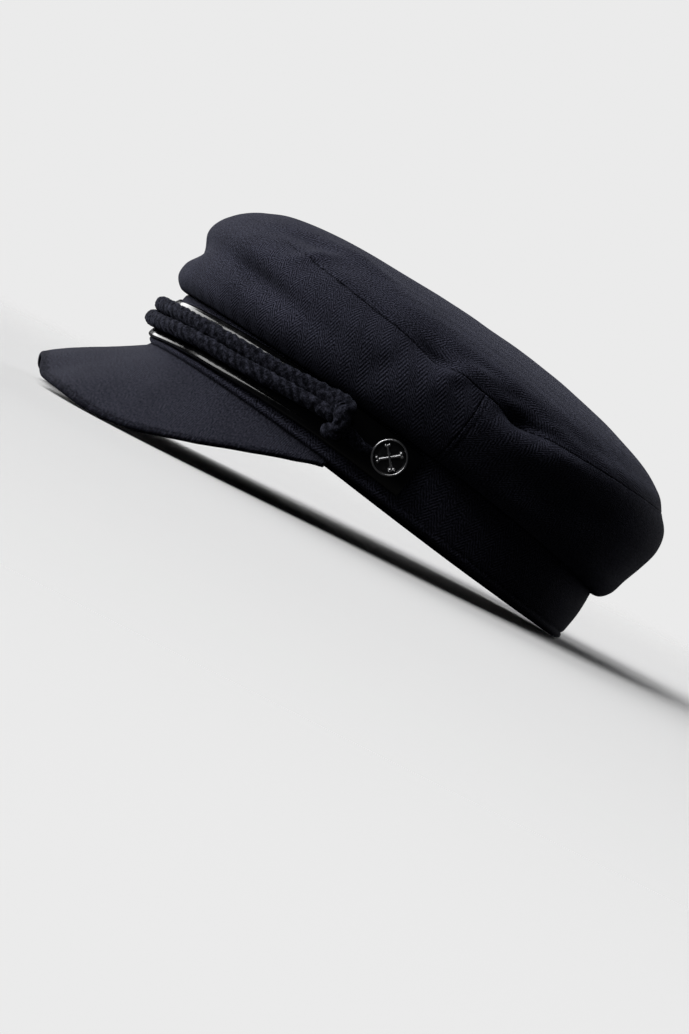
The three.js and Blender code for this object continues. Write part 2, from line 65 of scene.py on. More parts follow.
# Front out, front up, side out, side up, back out, back up for each ring of the crown.
CROWN_RINGS = [
    (100.6, 25.0, 80.2, 28.0, 100.8, 23.6),
    (104.8, 25.1, 85.6, 28.2, 106.4, 23.7),
    (108.7, 28.6, 91.2, 31.4, 109.8, 28.0),
    (109.6, 34.4, 94.6, 37.0, 111.2, 35.0),
    (109.5, 41.2, 96.6, 43.8, 113.2, 43.4),
    (109.8, 49.2, 97.2, 50.2, 114.6, 52.4),
    (107.4, 56.8, 95.6, 54.8, 112.8, 60.4),
    (102.2, 63.8, 93.2, 59.2, 107.4, 67.0),
    (95.0, 69.4, 89.4, 65.2, 100.2, 72.9),
    (84.0, 75.0, 80.5, 72.0, 87.3, 78.3),
    (64.0, 79.4, 58.0, 78.6, 65.0, 82.4),
    (34.0, 82.6, 29.0, 83.2, 36.0, 85.4),
    (0, 85.3, 0, 85.3, 0, 85.3),
]
TOP_SEAM = 7
CENTRE = len(CROWN_RINGS) - 1

# Azimuth, ring, turn of the fold's line, half length, half width, rise of each fold.
CROWN_FOLDS = [
    (-6, 4.15, 5, 26, 5.8, -4.3),
    (33, 4.35, -5, 26, 4.6, -3.6),
    (-38, 4.7, 4, 30, 5.5, -3.0),
    (30, 5.5, -6, 24, 6, 1.3),
    (40, 3.1, -3, 34, 6, 1.7),
    (40, 8.95, 14, 18, 5.5, 2.4),
    (30, 8.15, 22, 16, 5, -2.2),
    (58, 5.4, -30, 20, 6, 0.8),
    (71, 4.9, 62, 15, 5, -1.0),
    (76.5, 7.45, -8, 10, 4.5, -3.2),
    (82, 6.2, 60, 12, 5, 1.1),
    (100.5, 7.2, 6, 12, 4.6, -4.6),
    (106, 5.9, 8, 17, 6, 1.7),
    (127, 6.8, 8, 36, 9, 2.6),
    (116, 4.0, 12, 36, 10, -3.4),
    (262, 7.4, -8, 18, 6, -3.0),
    (240, 4.2, -10, 36, 10, -3.0),
    (178, 7.2, 0, 24, 5, -1.6),
    (100.5, 7.05, 12, 7, 2.8, -1.9),
    (96, 8.0, 20, 8, 2.6, -1.0),
    (106, 7.7, 10, 8, 2.4, 1.0),
    (77, 7.2, -6, 6, 2.4, -2.2),
    (87, 7.9, 14, 7, 2.4, 0.8),
    (113, 6.3, 6, 12, 3, 0.8),
    (38.3, 7.5, 62, 9, 3.2, 1.6),
    (82.2, 6.7, 30, 8, 3.6, 1.4),
]

# Azimuth, swing, droop and reach of the peak's rulings.
PEAK_RULINGS = [
    (0, 0, 39.2, 44.9),
    (5, 3.4, 39.6, 45.4),
    (13, 8.7, 42, 48.2),
    (24, 16, 44.6, 51),
    (34, 23, 46.2, 50.2),
    (44, 29, 46.5, 44.5),
    (54, 34, 45, 32.5),
    (62, 38, 43, 19.5),
    (68, 42, 41, 9),
    (72, 46, 38, 2),
]
PEAK_CORNER = 72

# The peak's edge is bent out to the left of its tip and in to the right of it.
BEND_AZIMUTH = 12
BEND_WIDTH = 8
BEND_LEFT = 2.6
BEND_RIGHT = 1.4
BEND_DROOP = 0.8

# Azimuth and height of the band's lower edge.
BAND_EDGE = [
    (0, 0), (15, 1.0), (30, 1.9), (50, 2.6), (70, 2.6),
    (90, 1.9), (110, 0.9), (130, 0.2), (150, 0), (180, 0),
]

# Azimuth and height of the strap's middle line.
STRAP_LINE = [(0, 11.6), (18, 13.4), (36, 15.2), (54, 16.7), (66, 17.4), (78, 17.3), (90, 16.8)]

# Azimuth, height, stand off the band and radius along each cord, from the front to one side.
LOWER_CORD = [
    (0, 8.9, 4.9, 3.0),
    (15, 10.0, 4.9, 3.0),
    (30, 12.3, 4.9, 3.0),
    (44, 13.9, 5.2, 3.0),
    (53, 15.6, 6.4, 3.0),
    (60, 17.0, 7.2, 2.9),
    (64.6, 18.0, 8.2, 3.1),
    (67.3, 18.4, 9.4, 3.3),
    (70.2, 17.0, 8.0, 3.0),
    (74, 15.4, 5.2, 2.6),
    (77, 15.1, 4.3, 2.3),
    (79.6, 15.8, 3.8, 1.7),
]
UPPER_CORD = [
    (0, 15.6, 4.9, 3.0),
    (15, 16.3, 4.9, 3.0),
    (30, 17.9, 4.9, 3.0),
    (44, 19.6, 4.9, 3.0),
    (54, 21.1, 5.2, 3.1),
    (60, 22.6, 6.2, 3.3),
    (64.8, 23.4, 8.2, 3.6),
    (67.6, 24.0, 10.0, 4.0),
    (69.3, 23.0, 11.6, 4.3),
    (69.4, 20.6, 12.7, 3.7),
    (70.3, 17.0, 12.2, 3.4),
    (69.8, 13.6, 10.6, 3.3),
    (68.5, 12.4, 8.4, 3.1),
    (68.3, 13.2, 6.0, 2.2),
]


# The smooth curves and faces that the pieces follow.

def through(values):
    """A smooth curve through evenly spaced values, read at a place counted in steps."""
    values = np.array(values, float)
    last = len(values) - 1

    def read(place):
        place = np.clip(np.asarray(place, float), 0, last)
        start = np.minimum(place.astype(int), last - 1)
        part = place - start
        here = values[start]
        there = values[start + 1]
        leave = (there - values[np.maximum(start - 1, 0)]) / 2
        arrive = (values[np.minimum(start + 2, last)] - here) / 2
        bend = 2 * (here - there) + leave + arrive
        lean = 3 * (there - here) - 2 * leave - arrive
        return ((bend * part + lean) * part + leave) * part + here

    return read


def round_head(rows, column=1):
    """The same for a table placed by azimuth, alike on the left and the right."""
    azimuths = [row[0] for row in rows]
    read = through([row[column] for row in rows])

    def value(azimuth):
        from_front = np.abs((np.asarray(azimuth, float) + 180) % 360 - 180)
        return read(np.interp(from_front, azimuths, range(len(rows))))

    return value


def points(x, y, z):
    """Columns of numbers put together as points."""
    return np.stack(np.broadcast_arrays(x, y, z), axis=-1).astype(float)


def unit(vectors):
    return vectors / np.linalg.norm(vectors, axis=-1, keepdims=True)


def oval(azimuth, out, height):
    """Points on an oval that is this far out at the front, the sides and the back."""
    front, side, back = out
    turn = np.radians(azimuth)
    length = np.where(np.cos(turn) > 0, front, back)
    return points(side * np.sin(turn), -length * np.cos(turn), height)


def height_round(azimuth, up):
    """A height that goes smoothly from the front's by the sides' to the back's."""
    front, side, back = up
    lengthwise = np.cos(np.radians(azimuth))
    end = np.where(lengthwise > 0, front, back)
    return side + (end - side) * lengthwise ** 2


def outward(surface, azimuth, second, azimuth_step, second_step):
    """The outward direction of a surface that runs round by azimuth and up by its second measure."""
    level = surface(azimuth + azimuth_step, second) - surface(azimuth - azimuth_step, second)
    rising = surface(azimuth, second + second_step) - surface(azimuth, second - second_step)
    return unit(np.cross(level, rising))


ring_curves = [through(column) for column in zip(*CROWN_RINGS)]


def smooth_crown(azimuth, ring):
    """The crown's outer face without its folds."""
    front_out, front_up, side_out, side_up, back_out, back_up = [read(ring) for read in ring_curves]
    height = height_round(azimuth, (front_up, side_up, back_up))
    return oval(azimuth, (front_out, side_out, back_out), height)


RING_MARGIN = 0.05
AZIMUTH_STEP = 0.5
RING_STEP = 0.04


def crown_outward(surface, azimuth, ring):
    kept = np.clip(ring, RING_MARGIN, CENTRE - RING_MARGIN)
    return outward(surface, azimuth, kept, AZIMUTH_STEP, RING_STEP)


def fold_patches():
    """Each fold as its middle, the directions that measure how far off a place is, and its rise."""
    patches = []
    for azimuth, ring, turn, along, across, rise in CROWN_FOLDS:
        where = (np.array(float(azimuth)), np.array(float(ring)))
        normal = crown_outward(smooth_crown, *where)
        level = unit(smooth_crown(where[0] + 1, where[1]) - smooth_crown(where[0] - 1, where[1]))
        aside = np.cross(normal, level)
        line = level * math.cos(math.radians(turn)) + aside * math.sin(math.radians(turn))
        reach = (line / along, np.cross(normal, line) / across, normal / along)
        patches.append((smooth_crown(*where), reach, rise))
    return patches


FOLD_PATCHES = fold_patches()


def fold_rise(places):
    """How far the folds lift the cloth at some places."""
    rise = 0
    for centre, reach, height in FOLD_PATCHES:
        offset = places - centre
        far = sum((offset @ direction) ** 2 for direction in reach)
        rise = rise + height * np.exp(-far)
    return rise


def smoothstep(low, high, value):
    """Goes smoothly from 0 at low to 1 at high."""
    part = np.clip((value - low) / (high - low), 0, 1)
    return part * part * (3 - 2 * part)


# Rings between which the seam at the band lets go of the folds.
FOLDS_FREE = (0.5, 2.5)


def crown_face(azimuth, ring):
    """The crown's outer face with its folds, which the seam at the band holds flat."""
    place = smooth_crown(azimuth, ring)
    rise = smoothstep(*FOLDS_FREE, ring) * fold_rise(place)
    return place + crown_outward(smooth_crown, azimuth, ring) * rise[..., None]


def band_outward(azimuth):
    """The outward direction of the band's face."""
    turn = np.radians(azimuth)
    length = np.where(np.cos(turn) > 0, BAND_OUT[0], BAND_OUT[2])
    return unit(points(np.sin(turn) / BAND_OUT[1], -np.cos(turn) / length, 0))


def off_band(azimuth, height, stand):
    """A point at some height above the band's lower edge, and standing off the band's face."""
    azimuth, height, stand = np.broadcast_arrays(azimuth, height, stand)
    swell = BAND_SWELL * np.sin(math.pi * np.clip(height / BAND_TOP[0], 0, 1))
    return oval(azimuth, BAND_OUT, height) + band_outward(azimuth) * (stand + swell)[..., None]


band_edge = round_head(BAND_EDGE)
strap_height = round_head(STRAP_LINE)
peak_swing = round_head(PEAK_RULINGS, 1)
peak_droop = round_head(PEAK_RULINGS, 2)
peak_reach = round_head(PEAK_RULINGS, 3)


def peak_face(azimuth, part):
    """The peak's upper face, from 0 at the band to 1 at the edge, which is bent beside its tip."""
    bent_out = BEND_LEFT * np.exp(-(((azimuth - BEND_AZIMUTH) / BEND_WIDTH) ** 2))
    bent_in = BEND_RIGHT * np.exp(-(((azimuth + BEND_AZIMUTH) / BEND_WIDTH) ** 2))
    swing = np.radians(np.sign(azimuth) * peak_swing(azimuth))
    droop = np.radians(peak_droop(azimuth) + BEND_DROOP * (bent_out - bent_in))
    full_reach = peak_reach(azimuth) + bent_out - bent_in
    reach = full_reach * part
    level = reach * np.cos(droop)
    arch = PEAK_ARCH * np.sin(math.pi * np.clip(part, 0, 1)) * reach / PEAK_RULINGS[0][3]
    root = off_band(azimuth, band_edge(azimuth), GAP - BAND_ROLL)
    fall = arch - reach * np.sin(droop) - PEAK_DROP
    return root + points(np.sin(swing) * level, -np.cos(swing) * level, fall)


SEED_SHIFT = (17.3, 5.1, 9.7)


def noise_at(places, size, seed):
    """Smooth noise from -1 to 1 over places, with bumps of about the given size."""
    shift = Vector([seed * step for step in SEED_SHIFT])
    return np.array([noise.noise(Vector(place) / size + shift) for place in places])


def unevenness(places, waves):
    """How far soft cloth lies off its face, from the rise, size and seed of each wave in it."""
    return sum(rise * noise_at(places, size, seed) for rise, size, seed in waves)


# The cap lies back on the heel of its band and on its peak's edge, as the CAD pieces do.

tip_back = Matrix.Rotation(-REST_TILT, 3, "X")
heel = Vector(off_band(180, 0, -BAND_ROLL)) * MM
lowest = min((vertex.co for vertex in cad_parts["head_band"].data.vertices), key=lambda co: co.z)
LAID_DOWN = Matrix.Translation(lowest - tip_back @ heel) @ tip_back.to_4x4()


# Meshes.

SAME_PLACE = 0.002
CROWDING = 4


def grid(columns, rows):
    """A bmesh grid, with each vertex's places along it and across it from 0 to 1."""
    bm = bmesh.new()
    bmesh.ops.create_grid(bm, x_segments=columns, y_segments=rows, size=0.5)
    bm.verts.ensure_lookup_table()
    u = np.array([vertex.co.x for vertex in bm.verts]) + 0.5
    v = np.array([vertex.co.y for vertex in bm.verts]) + 0.5
    return bm, np.round(u * columns) / columns, np.round(v * rows) / rows


def shape(bm, places, weave):
    """Puts a grid's vertices in place, notes the cloth's own measures and closes what meets."""
    for vertex, place in zip(bm.verts, places):
        vertex.co = Vector(place) * MM
    layer = bm.loops.layers.float_vector.new("weave")
    bm.verts.index_update()
    for face in bm.faces:
        for loop in face.loops:
            loop[layer] = weave[loop.vert.index]
    bmesh.ops.remove_doubles(bm, verts=bm.verts, dist=SAME_PLACE * MM)


def close_ends(bm):
    """Fills a tube's open ends."""
    bmesh.ops.holes_fill(bm, edges=[edge for edge in bm.edges if edge.is_boundary], sides=0)


def piece(name, bm, material, node, closed=False):
    """Finishes a bmesh as a piece that rides on the cap and stands for its CAD node."""
    if closed:
        bmesh.ops.recalc_face_normals(bm, faces=bm.faces)
    bm.transform(LAID_DOWN)
    mesh = bpy.data.meshes.new(name)
    bm.to_mesh(mesh)
    bm.free()
    mesh.polygons.foreach_set("use_smooth", [True] * len(mesh.polygons))
    mesh.materials.append(material)
    made = bpy.data.objects.new(name, mesh)
    bpy.context.scene.collection.objects.link(made)
    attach(made, "root")
    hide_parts(node)
    return made


def thicken(made, wall):
    """Gives a sheet of cloth its thickness, inwards from its outer face."""
    solidify = made.modifiers.new("wall", "SOLIDIFY")
    solidify.thickness = wall * MM
    solidify.offset = -1


def close_together(count, near, far=None):
    """Places from 0 to 1 that crowd together at the ends, near and far by these shares."""
    places = np.linspace(0, 1, count + 1)
    far = near if far is None else far
    start = near * np.exp(-places * count / CROWDING)
    end = far * np.exp(-(1 - places) * count / CROWDING)
    step = 1 / (1 + start + end)
    total = np.concatenate([[0], np.cumsum((step[1:] + step[:-1]) / 2)])
    return total / total[-1]


# The crown.

SEAM_ROLL = 1.0
PUFF = 0.5
PUFF_FROM_SEAM = 4
PUFF_WIDTH = 2.6
PUCKER = 0.28
PUCKER_SIZE = 5.5
PUCKER_REACH = 6
PUCKER_SEED = 3
CROWN_WAVES = [(0.45, 34, 1), (0.16, 13, 2)]
# How wide the painted shade along a seam's groove is.
SEAM_SHADE_WIDTH = 0.6

# Rings between which the crown's small unevenness grows in above the band.
SOFT_FREE = (0.5, 2)

# The share of the top seam's roll and of its painted shade that shows at the front, and what the side
# adds to it between two azimuths off the front. Then the part of it that is lost towards the back,
# between two more.
TOP_SEAM_FRONT = 0.1
TOP_SEAM_SIDE = 0.8
TOP_SEAM_SHOWS = (24, 58)
TOP_SEAM_LOSS = 0.7
TOP_SEAM_CLOSES = (105, 140)

# The side seam grows in between these rings, is shallower, and has a pressed line behind it.
# Both get painted shade in their grooves.
SIDE_SEAM_STARTS = (0.2, 1.2)
SIDE_SEAM = 0.6
PRESSED_LINE = 2.4
PRESSED_WIDTH = 0.5
PRESSED_DEPTH = 0.25
PRESSED_SHADE = 0.5
SIDE_MM_PER_DEGREE = 1.9

# The herringbone's columns lean outwards, fully so from this far off the panel's middle.
HERRINGBONE_LEAN = 30
LEAN_REACH = 130

# How strongly the mesh crowds together at the side seams and at the top seam.
SIDE_SEAM_CROWDING = 8
TOP_SEAM_CROWDING = 7

# Where the crown is measured round and up.
MIDDLE_RING = 4.5
RISE_AZIMUTH = 45
WHOLE_TURN = np.linspace(-180, 180, 721)
ALL_RINGS = np.linspace(0, CENTRE, 241)


def lengths(path):
    """The length along a path at each of its points."""
    return np.concatenate([[0], np.cumsum(np.linalg.norm(np.diff(path, axis=0), axis=1))])


round_length = lengths(smooth_crown(WHOLE_TURN, MIDDLE_RING))
rise_length = lengths(smooth_crown(RISE_AZIMUTH, ALL_RINGS))


def arc_round(azimuth):
    """Length round the crown's middle from the front, in millimetres."""
    return np.interp(azimuth, WHOLE_TURN, round_length) - round_length[-1] / 2


def arc_up(ring):
    """Length up over the crown from the band."""
    return np.interp(ring, ALL_RINGS, rise_length)


def seam_sink(distance):
    """How far cloth rolls in beside a seam, less the little that it puffs up next to the roll."""
    near = np.clip(1 - distance / SEAM_ROLL, 0, 1)
    roll = SEAM_ROLL * (1 - np.sqrt(1 - near ** 2))
    return roll - PUFF * np.exp(-((distance - PUFF_FROM_SEAM) / PUFF_WIDTH) ** 2)


def crown_cloth(azimuth, ring, side_seams):
    """The crown's face with rolled seams and small puckers, and the painted shade in its seam grooves."""
    place = crown_face(azimuth, ring)
    normal = crown_outward(crown_face, azimuth, ring)
    from_front = np.abs((azimuth + 180) % 360 - 180)
    shown = TOP_SEAM_FRONT + TOP_SEAM_SIDE * smoothstep(*TOP_SEAM_SHOWS, from_front)
    shown = shown * (1 - TOP_SEAM_LOSS * smoothstep(*TOP_SEAM_CLOSES, from_front))
    from_top_seam = np.abs(arc_up(ring) - arc_up(TOP_SEAM))
    from_seam = from_top_seam
    sink = seam_sink(from_top_seam) * shown
    # The top seam's groove gets painted shade, as strong as its roll shows.
    seam_shade = np.exp(-((from_top_seam / SEAM_SHADE_WIDTH) ** 2)) * shown
    if side_seams:
        behind = (from_front - 90) * SIDE_MM_PER_DEGREE
        from_seam = np.minimum(from_top_seam, np.abs(behind))
        held = smoothstep(*SIDE_SEAM_STARTS, ring)
        pressed = np.exp(-(((behind - PRESSED_LINE) / PRESSED_WIDTH) ** 2)) * held
        side_sink = SIDE_SEAM * seam_sink(np.abs(behind)) * held
        # The side seam's groove and the pressed line get painted shade too.
        side_seam_shade = SIDE_SEAM * np.exp(-((behind / SEAM_SHADE_WIDTH) ** 2))
        sink = np.maximum(sink, side_sink) + PRESSED_DEPTH * pressed
        seam_shade = np.maximum(seam_shade, np.maximum(side_seam_shade, PRESSED_SHADE * pressed))
    pucker = np.exp(-from_seam / PUCKER_REACH)
    soft = unevenness(place, CROWN_WAVES)
    soft += PUCKER * pucker * noise_at(place, PUCKER_SIZE, PUCKER_SEED)
    rise = soft * smoothstep(*SOFT_FREE, ring) - sink
    return place + normal * rise[:, None], seam_shade


def crown_panel(name, node, first_azimuth, centre, material):
    """Half of the crown's side, from one side seam to the other."""
    columns = 230
    rows = 74
    bm, u, v = grid(columns, rows)
    along = close_together(columns, SIDE_SEAM_CROWDING)[np.round(u * columns).astype(int)]
    upward = close_together(rows, 0, TOP_SEAM_CROWDING)[np.round(v * rows).astype(int)]
    azimuth = first_azimuth + 180 * along
    ring = TOP_SEAM * upward
    from_centre = arc_round((azimuth - centre + 180) % 360 - 180)
    lean = np.radians(HERRINGBONE_LEAN) * smoothstep(0, LEAN_REACH, np.abs(from_centre))
    height = arc_up(ring)
    across = from_centre + np.sign(from_centre) * height * np.tan(lean)
    place, groove_shade = crown_cloth(azimuth, ring, True)
    shape(bm, place, points(across, height, groove_shade))
    thicken(piece(name, bm, material, node), CROWN_WALL)


def crown_top(material):
    """The crown's top, from the seam round its edge to its middle."""
    columns = 260
    rows = 70
    bm, u, v = grid(columns, rows)
    inward = close_together(rows, TOP_SEAM_CROWDING, 0)[np.round(v * rows).astype(int)]
    azimuth = 360 * u
    ring = TOP_SEAM + (CENTRE - TOP_SEAM) * inward
    flat = smooth_crown(azimuth, ring)
    spread = (rise_length[-1] - arc_up(ring)) / np.maximum(np.linalg.norm(flat[:, :2], axis=1), 1)
    place, groove_shade = crown_cloth(azimuth, ring, False)
    shape(bm, place, points(flat[:, 0] * spread, flat[:, 1] * spread, groove_shade))
    thicken(piece("crown_top", bm, material, "crown_top_panel"), CROWN_WALL)


# The head band and the peak.

def section_walk(corners, share):
    """Walks round a closed section given as (out, up) corners; share runs from 0 to 1."""
    loop = np.array(list(corners) + [corners[0]], float)
    along = lengths(loop)
    here = share * along[-1]
    return np.interp(here, along, loop[:, 0]), np.interp(here, along, loop[:, 1])


CORNER_STEPS = 6


def rounded_section(width, height, radius):
    """An upright strip's section with round corners, from its outer face's top round by the inner."""
    corners = []
    for centre_out, centre_up, start in (
        (-radius, height - radius, 0), (radius - width, height - radius, 90),
        (radius - width, radius, 180), (-radius, radius, 270),
    ):
        for step in range(CORNER_STEPS + 1):
            turn = math.radians(start + 90 * step / CORNER_STEPS)
            corners.append((centre_out + radius * math.cos(turn), centre_up + radius * math.sin(turn)))
    return corners


# The band's welt stands out by the first of these, and at the front by the second as well, which
# ends between the next two azimuths.
WELT_STAND = 0.8
FRONT_WELT = 1.5
FRONT_WELT_ENDS = (100, 80)
WELT_HEIGHT = 2.6
WELT_SPREAD = 0.55
CREASE_DEPTH = 0.45
CREASE_ABOVE_WELT = 0.5
CREASE_WIDTH = 0.6
ROLL_HEIGHT = 2.2
BAND_CORNER = 1.1
BAND_TUCK = 0.3
BAND_LENGTH = 585
BAND_WAVES = [(0.25, 22, 4), (0.1, 7, 5)]

# The welt and the crease fade out through this share of the wall, from the outer face inwards, and
# the small unevenness grows in over this height above the edge.
OUTER_SHARE = 0.75
SOFT_ABOVE_EDGE = 4


def head_band(material):
    """The band, with a welt along its lower edge that stands out further at the front."""
    columns = 360
    rows = 72
    bm, u, v = grid(columns, rows)
    azimuth = 360 * u - 180
    edge = band_edge(azimuth)
    top = height_round(azimuth, BAND_TOP) + BAND_TUCK
    out, up = section_walk(rounded_section(BAND_WALL, BAND_TOP[0], BAND_CORNER), v)
    height = edge + up / BAND_TOP[0] * (top - edge)
    outer = smoothstep(-BAND_WALL * OUTER_SHARE, 0, out)
    above_edge = height - edge
    front = smoothstep(*FRONT_WELT_ENDS, np.abs(azimuth))
    off_welt = (above_edge - WELT_HEIGHT / 2) / (WELT_HEIGHT * WELT_SPREAD)
    welt = (WELT_STAND + FRONT_WELT * front) * np.exp(-(off_welt ** 4))
    off_crease = (above_edge - WELT_HEIGHT - CREASE_ABOVE_WELT) / CREASE_WIDTH
    crease = -CREASE_DEPTH * np.exp(-(off_crease ** 2))
    roll = -BAND_ROLL * np.exp(-((above_edge / ROLL_HEIGHT) ** 2))
    stand = out + outer * (welt + crease) + roll
    place = off_band(azimuth, height, stand)
    soft = unevenness(place, BAND_WAVES)
    soft = soft * smoothstep(0, SOFT_ABOVE_EDGE, above_edge)
    place = place + band_outward(azimuth) * soft[:, None]
    # The crease's depth goes on as painted shade in the crease.
    shape(bm, place, points(azimuth / 180 * BAND_LENGTH / 2, up + out, -crease))
    piece("band", bm, material, "head_band", closed=True)


# How many places there are along each face of the peak, round its edge and down its root.
FACE_PLACES = 41
EDGE_PLACES = 17
ROOT_PLACES = 5


def peak_walk():
    """Walks round the peak's section: how far out, from -1 below to 1 above, and past the edge."""
    under = [(part, -1, 0) for part in np.linspace(0, 1, FACE_PLACES)]
    turns = np.linspace(0, math.pi, EDGE_PLACES)[1:-1]
    edge = [(1, -math.cos(turn), math.sin(turn)) for turn in turns]
    over = [(part, 1, 0) for part in np.linspace(1, 0, FACE_PLACES)]
    root = [(0, side, 0) for side in np.linspace(1, -1, ROOT_PLACES)[1:]]
    return np.array(under + edge + over + root, float)


# How far the peak's root tucks up behind the strap, and how far out it still does.
ROOT_TUCK = 1.6
ROOT_REACH = 2.5

# The rim is pressed in by this depth, which it gains between two places in from the edge. It grows
# in from the corners as the peak's reach goes from the first of the last two to the second.
RIM_DEPTH = 0.12
RIM_WIDTH = (3.2, 0.6)
RIM_REACH = (3, 12)
PEAK_WAVES = [(0.16, 16, 6), (0.05, 5, 10)]

# The slope makes the peak this much longer than it looks from above.
SLOPE_STRETCH = 1.3

# The peak's outward direction is read within these margins of its corners, root and edge, from
# places these steps to each side. Its forward direction is read between two parts of its reach.
CORNER_MARGIN = 1
PART_MARGIN = 0.05
PEAK_TURN_STEP = 0.8
PART_STEP = 0.05
FORWARD_PARTS = (0.4, 0.6)

# The peak's reach counts as at least this much more than half its thickness, so that its upper face
# doesn't fold back at the corners.
LEAST_PAST_HALF = 0.3


def peak(material):
    """The peak, covered with felted cloth that is turned over its edge."""
    walk = peak_walk()
    columns = 260
    rows = len(walk) - 1
    bm, u, v = grid(columns, rows)
    azimuth = PEAK_CORNER * (2 * u - 1)
    part, side, push = walk[np.round(v * rows).astype(int)].T
    half = PEAK_WALL / 2
    reach = peak_reach(azimuth)
    shown = part * (1 - half / np.maximum(reach, half + LEAST_PAST_HALF))
    kept = np.clip(azimuth, CORNER_MARGIN - PEAK_CORNER, PEAK_CORNER - CORNER_MARGIN)
    kept_part = np.clip(shown, PART_MARGIN, 1 - PART_MARGIN)
    normal = -outward(peak_face, kept, kept_part, PEAK_TURN_STEP, PART_STEP)
    forward = unit(peak_face(kept, FORWARD_PARTS[1]) - peak_face(kept, FORWARD_PARTS[0]))
    place = peak_face(azimuth, shown) + normal * ((side - 1) * half)[:, None]
    place = place + forward * (push * half)[:, None]
    rim = smoothstep(*RIM_WIDTH, (1 - part) * reach) * smoothstep(*RIM_REACH, reach)
    soft = unevenness(place, PEAK_WAVES)
    place = place + normal * (soft * side - RIM_DEPTH * rim * side)[:, None]
    place[:, 2] += ROOT_TUCK * smoothstep(ROOT_REACH, 0, part * reach)
    shape(bm, place, points(place[:, 0], place[:, 1] * SLOPE_STRETCH, rim))
    close_ends(bm)
    piece("peak_cloth", bm, material, "peak", closed=True)


# The strap, the cords and the buttons.

# The strap's lower edge flares out over the peak, and more so at the front. Its upper edge falls in.
FLARE_SLOPE = 0.55
FLARE_HEIGHT = 2.7
FRONT_FLARE = 2.3
SIDE_FLARE = 0.6
FLARE_FADES = (25, 62)
FLARE_ENDS = (74, 60)
EDGE_FALL = 0.6
EDGE_REACH = (2.6, 0.2)
STRAP_CORNER = 0.62
STRAP_BULGE = 0.35
STRAP_CROWDING = 6
STRAP_WAVES = [(0.1, 26, 7)]
MM_PER_DEGREE = 1.7


def strap(material):
    """The patent strap round the front, a little bulged across its width."""
    columns = 300
    rows = 140
    bm, u, v = grid(columns, rows)
    along = close_together(columns, STRAP_CROWDING)[np.round(u * columns).astype(int)]
    azimuth = STRAP_END * (2 * along - 1)
    out, up = section_walk(rounded_section(STRAP_WALL, STRAP_WIDTH, STRAP_CORNER), v)
    height = strap_height(azimuth) - STRAP_WIDTH / 2 + up
    place = off_band(azimuth, height, GAP + STRAP_WALL + out)
    middle = (up / STRAP_WIDTH - 0.5) * 2
    bulge = STRAP_BULGE * (1 - np.maximum(middle, 0) ** 2) + unevenness(place, STRAP_WAVES)
    flare = FRONT_FLARE + (SIDE_FLARE - FRONT_FLARE) * smoothstep(*FLARE_FADES, np.abs(azimuth))
    shown = smoothstep(*FLARE_ENDS, np.abs(azimuth))
    bulge += FLARE_SLOPE * flare * shown * smoothstep(1, -1, (up - FLARE_HEIGHT) / flare)
    bulge -= EDGE_FALL * shown * smoothstep(STRAP_WIDTH - EDGE_REACH[0], STRAP_WIDTH - EDGE_REACH[1], up)
    place = place + band_outward(azimuth) * bulge[:, None]
    shape(bm, place, points(azimuth * MM_PER_DEGREE, up, 0))
    close_ends(bm)
    piece("strap", bm, material, "leather_strap", closed=True)


def cord_line(stops, step):
    """Points and radii along a cord over the whole front, about a step apart."""
    both = [(-a, h, s, r) for a, h, s, r in stops[:0:-1]] + list(stops)
    knots = off_band([row[0] for row in both], [row[1] for row in both], [row[2] for row in both])
    radii = np.array([row[3] for row in both])
    ends = [2 * knots[0] - knots[1], *knots, 2 * knots[-1] - knots[-2]]
    centres = []
    sizes = []
    for i in range(len(knots) - 1):
        before, here, there, after = ends[i:i + 4]
        strides = (here - before, there - here, after - there)
        back, gap, on = [math.sqrt(np.linalg.norm(stride)) for stride in strides]
        leave = ((here - before) / back - (there - before) / (back + gap)) * gap + there - here
        arrive = ((after - there) / on - (after - here) / (gap + on)) * gap + there - here
        count = max(2, round(gap ** 2 / step))
        for part in np.arange(count) / count:
            bend = 2 * (here - there) + leave + arrive
            lean = 3 * (there - here) - 2 * leave - arrive
            centres.append(((bend * part + lean) * part + leave) * part + here)
            sizes.append(radii[i] + (radii[i + 1] - radii[i]) * part)
    centres.append(knots[-1])
    sizes.append(radii[-1])
    return np.array(centres), np.array(sizes)


STRANDS = 4
BUMP_PITCH = 4.5
CORD_RELIEF = 0.12
MIDDLE_RELIEF = 0.75
RING_SPACING = 0.42
CORD_SIDES = 36
LAY_WANDER = 1.1
LAY_WANDER_SIZE = 6
CORD_ROUND = 3

# Rise and size of each wave in the cord's soft surface.
CORD_WAVES = [(0.42, 2.6), (0.3, 0.8)]


